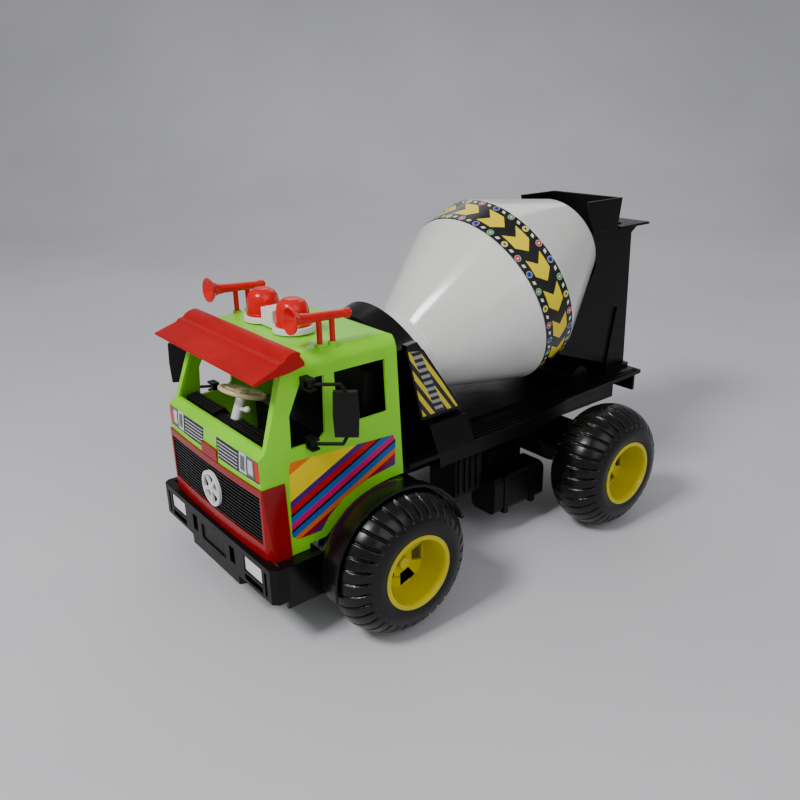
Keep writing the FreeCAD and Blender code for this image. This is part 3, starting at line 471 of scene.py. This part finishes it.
def door_sticker(word, side):
    """Striped sticker on the cab's leaning side."""
    verts = [mm(side * (cab_half(z) + 0.12), y, z) for y, z in DOOR_OUTLINE]
    loop = tuple(range(len(verts)))
    faces = [loop if side < 0 else loop[::-1]]
    piece("door_sticker_" + word, verts, faces, "truck", [M["stripes"]])


door_sticker("left", 1)
door_sticker("right", -1)


GROUND, CELL, TOP = 0.10, 0.14, 0.18     # how far each printed layer stands off the band, in millimetres
MESH_STEP = 1.5


def lamp_sticker():
    """Printed head lamps and louvres that follow the bowed front band."""
    cab = NODES["cab_shell"].data
    skin = BVHTree.FromPolygons([v.co for v in cab.vertices], [p.vertices for p in cab.polygons])
    cells = []
    for side in (-1, 1):
        cells += [("black", side, 45.4, 76.6, 130.4, 148.4, GROUND)]
        cells += [("pale", side, 46.4, 56.8, 131.6, 147.2, CELL)]
        cells += [("grey", side, 57.6, 67.4, 131.6, 147.2, CELL)]
        cells += [("pale", side, 59.2, 65.8, 134, 145, TOP)]
        cells += [("grey", side, 48.4, 54.8, 134, 145, TOP)]
        cells += [("amber", side, 68.2, 75.8, 131.6, 147.2, CELL)]
        cells += [("black", side, 11.0, 45.4, 130.4, 146.4, GROUND)]
        cells += [("pale", side, 12.5, 44.0, 132.4 + 2.7 * k, 133.2 + 2.7 * k, CELL) for k in range(5)]
    verts, faces, kinds = [], [], []
    for ink, side, x0, x1, z0, z1, proud in cells:
        columns = max(2, int((x1 - x0) / MESH_STEP))
        rows = max(2, int((z1 - z0) / MESH_STEP))
        grid = {}
        for c in range(columns + 1):
            for r in range(rows + 1):
                start = mm(side * (x0 + (x1 - x0) * c / columns), -140, z0 + (z1 - z0) * r / rows)
                hit = skin.ray_cast(start, Vector((0, 1, 0)))[0]
                if hit:
                    grid[c, r] = len(verts)
                    verts.append(hit - Vector((0, proud * MM, 0)))
        for c in range(columns):
            for r in range(rows):
                corners = [(c, r), (c + 1, r), (c + 1, r + 1), (c, r + 1)]
                if all(k in grid for k in corners):
                    loop = [grid[k] for k in corners]
                    faces.append(tuple(loop if side > 0 else loop[::-1]))
                    kinds.append(LAMP_INKS.index(ink))
    piece("lamp_sticker", verts, faces, "truck", [PRINT[k] for k in LAMP_INKS], kinds)


lamp_sticker()

for word, side in (("left", 1), ("right", -1)):
    corners = [(57.6, 193.9), (72, 191.6), (110.8, 135), (72.4, 135.2)]
    loop = (0, 1, 2, 3) if side < 0 else (3, 2, 1, 0)
    flank = [mm(side * 63.12, y, z) for y, z in corners]
    piece("hazard_sticker_" + word, flank, [loop], "truck", [M["hazard"]])


# ---- floor, lights and camera -------------------------------------------------------------
def floor():
    mesh = bpy.data.meshes.new("floor")
    steps = 24
    outline = [(-9.0, 0.0)]
    for k in range(steps + 1):
        a = math.radians(90 * k / steps)
        outline.append((1.6 + 0.9 * math.sin(a), 0.9 - 0.9 * math.cos(a)))
    outline.append((2.5, 4.0))
    view = Vector((-math.sin(math.radians(51.7)), math.cos(math.radians(51.7)), 0))
    across = Vector((view.y, -view.x, 0))
    verts, faces = [], []
    for reach, height in outline:
        for side in (-9.0, 9.0):
            verts.append(view * reach + across * side + Vector((0, 0, height)))
    for k in range(len(outline) - 1):
        faces.append((2 * k, 2 * k + 1, 2 * k + 3, 2 * k + 2))
    mesh.from_pydata([tuple(v) for v in verts], [], faces)
    for p in mesh.polygons:
        p.use_smooth = True
    o = bpy.data.objects.new("floor", mesh)
    bpy.context.scene.collection.objects.link(o)
    t = Tree("paper")
    color = t.mix(t.band(t.noise(0.5, 3), 0.3, 0.7), srgb(196, 196, 200), srgb(204, 204, 207))
    t.link(color, t.shader.inputs["Base Color"])
    t.shader.inputs["Roughness"].default_value = 0.75
    t.link(t.bump(t.noise(0.004, 3), 0.0002, 0.2), t.shader.inputs["Normal"])
    mesh.materials.append(t.material)


def area(name, at, toward, size, power):
    light = bpy.data.lights.new(name, "AREA")
    light.energy = power
    light.size = size
    o = bpy.data.objects.new(name, light)
    bpy.context.scene.collection.objects.link(o)
    o.location = at
    o.rotation_mode = "QUATERNION"
    o.rotation_quaternion = (Vector(toward) - Vector(at)).to_track_quat("-Z", "Y")


def camera():
    az, el, roll = math.radians(51.706), math.radians(21.329), math.radians(-1.134)
    back = Vector((math.sin(az) * math.cos(el), -math.cos(az) * math.cos(el), math.sin(el)))
    x = Vector((0, 0, 1)).cross(back).normalized()
    y = back.cross(x)
    x, y = math.cos(roll) * x + math.sin(roll) * y, -math.sin(roll) * x + math.cos(roll) * y
    data = bpy.data.cameras.new("camera")
    data.lens, data.sensor_width, data.clip_start = 35.51, 36.0, 0.01
    o = bpy.data.objects.new("camera", data)
    bpy.context.scene.collection.objects.link(o)
    turn = Matrix((x, y, back)).transposed().to_4x4()
    o.matrix_world = Matrix.Translation(mm(518.8, -311.1, 382.8)) @ turn
    bpy.context.scene.camera = o


def world():
    w = bpy.data.worlds.new("studio")
    bpy.context.scene.world = w
    w.use_nodes = True
    w.node_tree.nodes["Background"].inputs[0].default_value = (0.80, 0.81, 0.83, 1)
    w.node_tree.nodes["Background"].inputs[1].default_value = 0.44


floor()
camera()
world()
area("key", (0.1, -1.3, 1.5), (0, 0, 0.12), 0.42, 26)
area("fill", (1.6, -0.2, 1.2), (0, 0, 0.1), 1.4, 10)
area("back", (-1.2, 1.2, 1.6), (0, 0, 0.1), 1.6, 10)
